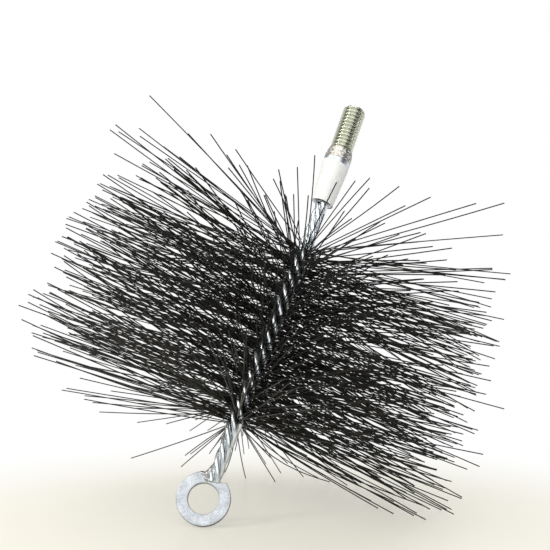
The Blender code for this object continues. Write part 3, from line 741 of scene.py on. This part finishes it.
def frame_bristles(brush, nodes):
    """Return the root and the run of each bristle of the frame, read off its tips."""
    to_brush = np.array(brush_matrix(brush).inverted())
    roots = []
    runs = []
    for name in nodes:
        shape = bmesh.new()
        shape.from_mesh(bpy.data.objects[name].data)
        bmesh.ops.remove_doubles(shape, verts=shape.verts, dist=MERGE_DISTANCE)
        shape.verts.index_update()
        shape.verts.ensure_lookup_table()
        places = np.array([vert.co[:] for vert in shape.verts])
        local = places @ to_brush[:3, :3].T + to_brush[:3, 3]
        far = np.hypot(local[:, 0] - brush.stem.axis_offset, local[:, 1]) > TIP_FROM
        group = list(range(len(places)))
        for edge in shape.edges:
            one, other = (vert.index for vert in edge.verts)
            if far[one] and far[other] and edge.calc_length() < TIP_EDGE:
                group = [group[one] if number == group[other] else number for number in group]
        for number in sorted({group[index] for index in np.flatnonzero(far)}):
            members = [index for index in np.flatnonzero(far) if group[index] == number]
            tip = places[members].mean(axis=0)
            ends = []
            for index in members:
                for edge in shape.verts[index].link_edges:
                    other = edge.other_vert(shape.verts[index])
                    if not far[other.index]:
                        ends.append(places[other.index])
            near = np.mean(ends, axis=0)
            roots.append(near)
            runs.append(tip - near)
        shape.free()
    return roots, runs


# Pieces

class SWEEP_OT_ring(Operator):
    """Make the flat ring eye, with its corner cut away where the stem stands"""
    bl_idname = "sweep.ring"
    bl_label = "Ring Eye"

    def execute(self, context):
        brush = context.scene.sweep_brush
        ring = brush.ring
        outer = ring.outer_diameter / 2
        inner = ring.hole_diameter / 2
        half = ring.thickness / 2
        foot_left = stem_centre(brush, inner + ring.seat_wall) - bundle_radius(brush)
        corner = Vector((foot_left, ring_seat_height(brush, foot_left)))
        along = direction_at(ring.seat_slope)
        up = Vector((-along.y, along.x))
        turns = list(np.linspace(-math.pi, math.pi, 180, endpoint=False))
        for direction in (along, up):
            part = corner.dot(direction)
            end = corner + direction * (math.sqrt(part ** 2 + outer ** 2 - corner.length_squared) - part)
            turns.append(math.atan2(end.y, end.x))
        turns.append(math.atan2(corner.y, corner.x))
        edge_steps = 4
        rows = []
        for turn in sorted(turns):
            direction = direction_at(turn)
            limit = outer
            if direction.dot(along) > 0 and direction.dot(up) > 0:
                wall = corner.dot(along) / direction.dot(along)
                seat = corner.dot(up) / direction.dot(up)
                limit = min(outer, max(wall, seat))
            rounded = min(ring.edge_round, (limit - inner) * 0.4)
            row = []
            for across, deep, first in (
                (limit - rounded, half - rounded, 0),
                (inner + rounded, half - rounded, 90),
                (inner + rounded, rounded - half, 180),
                (limit - rounded, rounded - half, 270),
            ):
                for step in range(edge_steps + 1):
                    angle = math.radians(first + 90 * step / edge_steps)
                    reach = across + rounded * math.cos(angle)
                    out = deep + rounded * math.sin(angle)
                    row.append((direction.x * reach, out, direction.y * reach))
            rows.append(row)
        rows.append(rows[0])
        thing = grid_object("ring_eye_plate", rows)
        finish_piece(thing, brush, zinc_plate_material(brush), ["ring_eye"], 40)
        return {"FINISHED"}


def fused_beads(name, beads, swell_depth, smoothing):
    """Make a lumpy bead of weld from ellipsoids, each a centre and its half sizes, that run together."""
    lump_size = 1.3 * MM
    voxel_size = 0.2 * MM
    shape = bmesh.new()
    for number, (centre, half) in enumerate(beads):
        blob = bmesh.ops.create_icosphere(shape, subdivisions=4, radius=1)["verts"]
        for vert in blob:
            place = Vector(part * size for part, size in zip(vert.co, half)) + Vector(centre)
            swell = noise.noise(place / lump_size + Vector((number * 7, 0, 0)))
            vert.co = place + vert.co * swell * swell_depth
    thing = object_from_shape(name, shape)
    remesh = thing.modifiers.new("fuse", "REMESH")
    remesh.mode = "VOXEL"
    remesh.voxel_size = voxel_size
    remesh.use_smooth_shade = True
    soften = thing.modifiers.new("soften", "SMOOTH")
    soften.iterations = smoothing
    return apply_modifiers(thing)


class SWEEP_OT_ring_weld(Operator):
    """Make the weld bead between the ring's shoulder and the stem, and the fillet under the wires"""
    bl_idname = "sweep.ring_weld"
    bl_label = "Ring Weld"

    def execute(self, context):
        brush = context.scene.sweep_brush
        ring = brush.ring
        rise = ring.outer_diameter / 2 - ring.weld_inset
        centre = float(stem_centre(brush, rise))
        left = centre - bare_stem_radius(brush)
        corner = fused_beads("ring_weld_bead", [
            ((left - 1.9 * MM, -0.3 * MM, rise - 1.0 * MM), (3.1 * MM, 1.95 * MM, 1.6 * MM)),
            ((left - 0.3 * MM, -0.4 * MM, rise - 0.3 * MM), (1.7 * MM, 2.0 * MM, 2.5 * MM)),
            ((left + 0.5 * MM, -0.5 * MM, rise + 1.6 * MM), (1.3 * MM, 1.8 * MM, 3.2 * MM)),
            ((left + 0.4 * MM, -0.5 * MM, rise - 2.9 * MM), (1.9 * MM, 2.0 * MM, 2.0 * MM)),
        ], 0.06 * MM, 12)
        finish_piece(corner, brush, ring_weld_material(brush), ["ring_weld"])
        foot = fused_beads("ring_weld_foot", [
            ((centre - 1.4 * MM, -0.2 * MM, ring_seat_height(brush, centre - 1.4 * MM) + 0.45 * MM),
             (2.6 * MM, 2.5 * MM, 0.95 * MM)),
            ((centre + 2.0 * MM, -0.2 * MM, ring_seat_height(brush, centre + 2.0 * MM) + 0.35 * MM),
             (2.6 * MM, 2.4 * MM, 0.9 * MM)),
        ], 0.1 * MM, 4)
        finish_piece(foot, brush, bright_weld_material(brush), ["ring_weld"])
        return {"FINISHED"}


class SWEEP_OT_stem(Operator):
    """Make the four twisted stem wires"""
    bl_idname = "sweep.stem"
    bl_label = "Stem Wires"

    def execute(self, context):
        brush = context.scene.sweep_brush
        stem = brush.stem
        held_in_ferrule = 8.0 * MM
        above_seat = 0.2 * MM
        tight = stem_radius_for(stem, stem.tight_space)
        values = {
            "Bottom": 0.0,
            "Start Angle": 0.0,
            "Top": brush.ferrule.bottom_height + held_in_ferrule,
            "Steps": 140,
            "Tight Radius": tight,
            "Open Radius": stem_radius_for(stem, stem.open_space),
            "Bristles From": brush.bristles.start_height,
            "Bristles To": brush.bristles.start_height + brush.bristles.row_length,
            **property_values(stem, ("Wire Diameter", "Opening Length")),
            **common_values(brush, galvanised_wire_material(brush), 18),
        }
        tree = stem_wire_tree(values)
        for number in range(stem.wires):
            start_angle = math.tau * number / stem.wires
            foot = ring_seat_height(brush, 0)
            for _ in range(8):
                angle = start_angle - math.tau * foot / stem.pitch
                across = float(stem_centre(brush, foot)) + tight * math.cos(angle)
                foot = ring_seat_height(brush, across) + above_seat
            values.update({"Bottom": foot, "Start Angle": start_angle})
            thing = run_tree(f"twisted_wire_{number + 1}", tree, values)
            finish_piece(thing, brush, None, [f"stem_wire_{number + 1}"], 50)
        return {"FINISHED"}


class SWEEP_OT_bristles(Operator):
    """Make the black wire bristles"""
    bl_idname = "sweep.bristles"
    bl_label = "Bristles"

    def execute(self, context):
        brush = context.scene.sweep_brush
        bristles = brush.bristles
        low, high = (Vector(corner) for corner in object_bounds())
        nodes = sorted(name for name in frame["nodes"] if name.startswith("bristle_slice_"))
        roots, runs = frame_bristles(brush, nodes)
        rest = np.random.default_rng(bristles.seed).uniform(0, 1, len(roots))
        points = bpy.data.meshes.new("frame_bristle_roots")
        points.from_pydata([tuple(root) for root in roots], [], [])
        for number, (root, run) in enumerate(zip(roots, runs)):
            if (root + run)[2] < CUT_TIP_HEIGHT:
                reach = bristles.brush_diameter / 2 * (1 - bristles.shortening * rest[number])
                runs[number] = run * reach / np.linalg.norm(run)
        for name, values in (("bristle_root", roots), ("bristle_run", runs)):
            attribute = points.attributes.new(name, "FLOAT_VECTOR", "POINT")
            attribute.data.foreach_set("vector", np.array(values, dtype=np.float32).ravel())
        thick = Vector((1, 1, 1)) * bristles.wire_diameter * RESTING_SHARE
        values = {
            "Added Bristles": bristles.added,
            "Rows": brush.stem.wires,
            "Points": 9,
            "Throat Radius": stem_radius_for(brush.stem, brush.stem.open_space),
            "Root Radius": 0.5 * MM,
            "Brush Radius": bristles.brush_diameter / 2,
            "Room Low": tuple(low + thick),
            "Room High": tuple(high - thick),
            **property_values(bristles, (
                "Crowding", "Start Height", "Row Length", "Wire Diameter", "Shortening", "Stud Splay",
                "Stud Spread", "Sideways Power", "Ring Splay", "Ring Spread", "End Power", "Tilt",
                "Lean Jitter", "Turn Jitter", "Bend", "Seed",
            )),
            **common_values(brush, bristle_material(brush), 5),
        }
        thing = run_tree("black_wire_bristles", bristle_tree(values), values, points)
        finish_piece(thing, brush, None, nodes)
        return {"FINISHED"}


class SWEEP_OT_ferrule(Operator):
    """Make the tapered ferrule under the label"""
    bl_idname = "sweep.ferrule"
    bl_label = "Ferrule"

    def execute(self, context):
        brush = context.scene.sweep_brush
        bottom = brush.ferrule.bottom_height
        top = ferrule_top(brush)
        mouth = bare_stem_radius(brush)
        rim = brush.ferrule.top_diameter / 2
        depth = 6.0 * MM
        nose = 1.6 * MM
        lip = 0.2 * MM
        wall = 2.0 * MM
        profile = [(mouth, bottom + depth)]
        rounded = np.linspace(bottom, bottom + nose, 9)
        for height in (*rounded, *np.linspace(bottom + nose, top - lip, 24)[1:]):
            radius = float(ferrule_radius(brush, height))
            missing = max(1 - (height - bottom) / nose, 0)
            closing = (radius - mouth) * (1 - math.sqrt(1 - missing ** 2))
            profile.append((radius - closing, float(height)))
        profile += [(rim - lip, top), (rim - wall, top)]
        thing = turned_object("tapered_ferrule", brush, profile, 72, 0.05 * MM, 3.0 * MM)
        finish_piece(thing, brush, ferrule_material(brush), ["ferrule"], 40)
        return {"FINISHED"}


class SWEEP_OT_label(Operator):
    """Make the bare paper label, wrapped round the ferrule with an overlapping seam"""
    bl_idname = "sweep.label"
    bl_label = "Paper Label"

    def execute(self, context):
        brush = context.scene.sweep_brush
        ferrule = brush.ferrule
        low = ferrule.bottom_height + ferrule.label_bottom_inset
        high = ferrule_top(brush) - ferrule.label_top_inset
        overlap = math.radians(38)
        seam_angle = math.radians(60)
        off_metal = 0.14 * MM
        seam_lift = ferrule.label_thickness + 0.1 * MM
        crease_depth, crease_height, creases_round = 0.12 * MM, 7.0 * MM, 2.2
        rows = []
        for height in np.linspace(low, high, 44):
            row = []
            for share in np.linspace(0, 1, 110):
                turn = share * (math.tau + overlap)
                angle = seam_angle + turn
                lifted = float(ease((turn - math.tau) / overlap))
                spot = (*direction_at(angle) * creases_round, height / crease_height)
                radius = float(ferrule_radius(brush, height)) + off_metal
                radius += crease_depth * noise.noise(spot) + lifted * seam_lift
                skew = ferrule.label_skew * math.cos(angle) * (0.5 + 0.5 * (height - low) / (high - low))
                row.append((radius * math.cos(angle), radius * math.sin(angle), height - skew))
            rows.append(row)
        thing = grid_object("paper_label", rows, brush.stem.axis_offset, wrap_around=False)
        thicken = thing.modifiers.new("paper", "SOLIDIFY")
        thicken.thickness = ferrule.label_thickness
        thicken.offset = 1
        apply_modifiers(thing)
        finish_piece(thing, brush, paper_material(brush), ["label"], 40)
        return {"FINISHED"}


class SWEEP_OT_stud_weld(Operator):
    """Make the weld between the ferrule and the thread"""
    bl_idname = "sweep.stud_weld"
    bl_label = "Stud Weld"

    def execute(self, context):
        brush = context.scene.sweep_brush
        low = ferrule_top(brush)
        high = thread_bottom(brush) + 0.3 * MM
        bottom = brush.ferrule.top_diameter / 2
        top = brush.stud.diameter / 2
        ring_width = 1.6 * MM
        belly = 0.3 * MM
        ripple_depth = 0.07 * MM
        profile = [(bottom - ring_width, low)]
        for share in np.linspace(0, 1, 26):
            ripple = ripple_depth * math.sin(share * math.tau * 3.5)
            radius = bottom + (top - bottom) * share + belly * math.sin(math.pi * share) + ripple
            profile.append((radius, low + (high - low) * share))
        profile.append((top - ring_width, high))
        thing = turned_object("stud_weld_bead", brush, profile, 96, 0.32 * MM, 1.5 * MM)
        finish_piece(thing, brush, weld_material(brush), ["stud_weld"], 60)
        return {"FINISHED"}


class SWEEP_OT_stud(Operator):
    """Make the threaded stud"""
    bl_idname = "sweep.stud"
    bl_label = "Threaded Stud"

    def execute(self, context):
        brush = context.scene.sweep_brush
        stud = brush.stud
        low = thread_bottom(brush)
        high = thread_top(brush)
        columns = 72
        steps_per_turn = 12
        # The tooth is mostly a clipped wave, whose slope makes the flanks, with a share of a plain one
        flank_slope, plain_share = 0.62, 0.14
        crest = stud.diameter / 2
        root = crest - stud.depth
        chamfer_depth = stud.chamfer * 0.9
        # Where the thread starts it rises from a plain neck, part of its depth above the root
        neck = 0.35 * stud.depth
        angles = np.linspace(0, math.tau, columns, endpoint=False)
        rows = []

        def add_row(radius, height):
            """Add a ring of points at a height, at one radius or at one for each angle."""
            row = (radius * np.cos(angles), radius * np.sin(angles), np.full(columns, height))
            rows.append(np.stack(row, axis=1))

        for height in np.linspace(low, high, math.ceil(stud.length / stud.pitch * steps_per_turn)):
            phase = (height - low) / stud.pitch - angles / math.tau
            wave = np.cos(math.tau * phase)
            tooth = np.clip(0.5 + flank_slope * wave, 0, 1)
            tooth = tooth * (1 - plain_share) + plain_share * (0.5 + 0.5 * wave)
            radius = root + stud.depth * tooth
            fade = float(ease((height - low) / (0.6 * stud.pitch)))
            radius = root + neck + (radius - root - neck) * fade
            chamfer = crest - chamfer_depth * max(0, 1 - (high - height) / stud.chamfer)
            add_row(np.minimum(radius, chamfer), height)
        for end_inset in (0.25 * MM, 1.6 * MM):
            add_row(crest - chamfer_depth - end_inset, high)
        thing = grid_object("threaded_stud_end", rows, brush.stem.axis_offset, cap_ends=True)
        finish_piece(thing, brush, stud_zinc_material(brush), ["threaded_stud"], 50)
        return {"FINISHED"}


class SWEEP_OT_stage(Operator):
    """Make the table, the lights and the camera"""
    bl_idname = "sweep.stage"
    bl_label = "Stage"

    def execute(self, context):
        brush = context.scene.sweep_brush
        make_table(brush)
        make_lights(context)
        make_world(context)
        make_camera(context, brush)
        context.scene.view_settings.view_transform = "Standard"
        return {"FINISHED"}


# Stage

PHOTO_WIDTH_PIXELS = 550
CAMERA_FOCAL_PIXELS = 1400
CAMERA_SENSOR = 36
CAMERA_FROM_RING = (0.0364, -0.7017)
CAMERA_RISE = 0.1832
CAMERA_DOWN_DEG = 4.5

WHITE = (1, 1, 1, 1)
TABLE_RADIUS = 3.0
# The table's own look ends between these distances from the middle of what the camera sees of it
TABLE_MIDDLE = (0.0, -0.12, 0.0)
TABLE_FADE = (0.16, 0.3)

# The room: how bright it is on the left and on the right, and where along X and Y it changes
ROOM_COLOUR = "D2D8DA"
ROOM_LEFT, ROOM_RIGHT = 0.42, 0.09
ROOM_DIMS = (0.1, 0.8)
ROOM_BACK = (0.7, 0.95)

# Each lamp: name, place, size, watts and colour
LAMPS = (
    ("window_lamp", (-0.1, -1.2, 1.05), (2.6, 1.5), 18, "FFFFFF"),
    ("ceiling_lamp", (0.1, 0.2, 1.7), (1.6, 1.6), 19, "FFFFFF"),
    ("left_lamp", (-1.0, -0.35, 0.85), (0.3, 0.3), 5, "FFF7E6"),
    ("right_lamp", (1.15, 0.3, 0.3), (0.2, 0.2), 1, "EAF2FF"),
)
LAMPS_AIM = Vector((0, 0, 0.1))


def make_camera(context, brush):
    """Place the camera in front of the ring, looking slightly down."""
    ring = brush_matrix(brush).translation
    data = bpy.data.cameras.new("camera")
    data.sensor_width = CAMERA_SENSOR
    data.lens = CAMERA_FOCAL_PIXELS / PHOTO_WIDTH_PIXELS * CAMERA_SENSOR
    camera = bpy.data.objects.new("camera", data)
    camera.location = (ring.x + CAMERA_FROM_RING[0], ring.y + CAMERA_FROM_RING[1], CAMERA_RISE)
    camera.rotation_euler = (math.radians(90 - CAMERA_DOWN_DEG), 0, 0)
    context.scene.collection.objects.link(camera)
    context.scene.camera = camera


def table_material(brush):
    """Pale varnished table that runs out into a white surround."""
    material, add = new_material("pale_varnished_table")
    colour = (*brush.finish.table, 1)
    offset = add("VectorMath SUBTRACT", add("TexCoord").outputs["Object"], TABLE_MIDDLE)
    distance = add("VectorMath LENGTH", offset)
    away = add("MapRange", distance, *TABLE_FADE, interpolation_type="SMOOTHSTEP")
    varnish = add("BsdfPrincipled", Base_Color=colour, Roughness=0.3, Specular_IOR_Level=0.35)
    white = add("Emission", add("Mix RGBA", away, colour, WHITE), 1.0)
    rays = add("LightPath").outputs
    seen = add("MULTIPLY", add("MapRange", away, 0.0, 1.0, 0.5, 1.0), rays["Is Camera Ray"])
    mirrored = add("MULTIPLY", away, rays["Is Glossy Ray"])
    add("OutputMaterial", add("MixShader", add("MAXIMUM", seen, mirrored), varnish, white))
    return material


def make_table(brush):
    """Make the table that the brush stands on."""
    shape = bmesh.new()
    bmesh.ops.create_circle(shape, cap_ends=True, segments=96, radius=TABLE_RADIUS)
    table = object_from_shape("table_top", shape)
    table.data.materials.append(table_material(brush))
    table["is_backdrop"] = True


def make_lights(context):
    """Light the brush with a wide window in front, a soft ceiling and two small lamps at the sides."""
    for name, place, size, watts, colour in LAMPS:
        data = bpy.data.lights.new(name, "AREA")
        data.shape = "RECTANGLE"
        data.size, data.size_y = size
        data.energy = watts
        data.color = linear(colour)
        lamp = bpy.data.objects.new(name, data)
        lamp.location = place
        lamp.rotation_euler = (LAMPS_AIM - Vector(place)).to_track_quat("-Z", "Y").to_euler()
        context.scene.collection.objects.link(lamp)


def make_world(context):
    """Make a dim room, darker on the right, with a white ground behind the brush that metal mirrors."""
    world = bpy.data.worlds.new("surround")
    context.scene.world = world
    world.use_nodes = True
    world.node_tree.nodes.clear()
    add = partial(add_node, world.node_tree)
    rays = add("LightPath").outputs
    way = add("SeparateXYZ", add("TexCoord").outputs["Generated"]).outputs
    behind = add("MapRange", way["Y"], *ROOM_BACK, interpolation_type="SMOOTHSTEP")
    mirrored = add("MULTIPLY", rays["Is Glossy Ray"], behind)
    strength = add(
        "MapRange", way["X"], *ROOM_DIMS, ROOM_LEFT, ROOM_RIGHT, interpolation_type="SMOOTHSTEP"
    )
    white = add("Background", WHITE, 1.0)
    dim = add("Background", (*linear(ROOM_COLOUR), 1), strength)
    add("OutputWorld", add("MixShader", add("MAXIMUM", rays["Is Camera Ray"], mirrored), dim, white))


# Panel and start

class SWEEP_PT_panel(Panel):
    """Sidebar panel with a button for each piece"""
    bl_idname = "SWEEP_PT_panel"
    bl_label = "Chimney Sweep Brush"
    bl_space_type = "VIEW_3D"
    bl_region_type = "UI"
    bl_category = "Sweep Brush"

    def draw(self, context):
        for piece in PIECES:
            self.layout.operator(piece.bl_idname)
        brush = context.scene.sweep_brush
        for group in (brush.ring, brush.stem, brush.bristles, brush.ferrule, brush.stud, brush.finish):
            box = self.layout.box()
            for name in group.__annotations__:
                box.prop(group, name)


SETTINGS = (
    RingSettings, StemSettings, BristleSettings, FerruleSettings, StudSettings, FinishSettings,
    SweepBrushSettings,
)
PIECES = (
    SWEEP_OT_ring, SWEEP_OT_ring_weld, SWEEP_OT_stem, SWEEP_OT_bristles, SWEEP_OT_ferrule,
    SWEEP_OT_label, SWEEP_OT_stud_weld, SWEEP_OT_stud, SWEEP_OT_stage,
)


def register():
    """Register the settings, the operators and the panel."""
    for item in (*SETTINGS, *PIECES, SWEEP_PT_panel):
        bpy.utils.register_class(item)
    bpy.types.Scene.sweep_brush = PointerProperty(type=SweepBrushSettings)


def unregister():
    """Remove what register added."""
    del bpy.types.Scene.sweep_brush
    for item in reversed((*SETTINGS, *PIECES, SWEEP_PT_panel)):
        bpy.utils.unregister_class(item)


def main():
    """Make every piece and the stage."""
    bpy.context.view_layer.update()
    register()
    bpy.ops.sweep.ring()
    bpy.ops.sweep.ring_weld()
    bpy.ops.sweep.stem()
    bpy.ops.sweep.bristles()
    bpy.ops.sweep.ferrule()
    bpy.ops.sweep.label()
    bpy.ops.sweep.stud_weld()
    bpy.ops.sweep.stud()
    bpy.ops.sweep.stage()


if __name__ == "__main__":
    main()
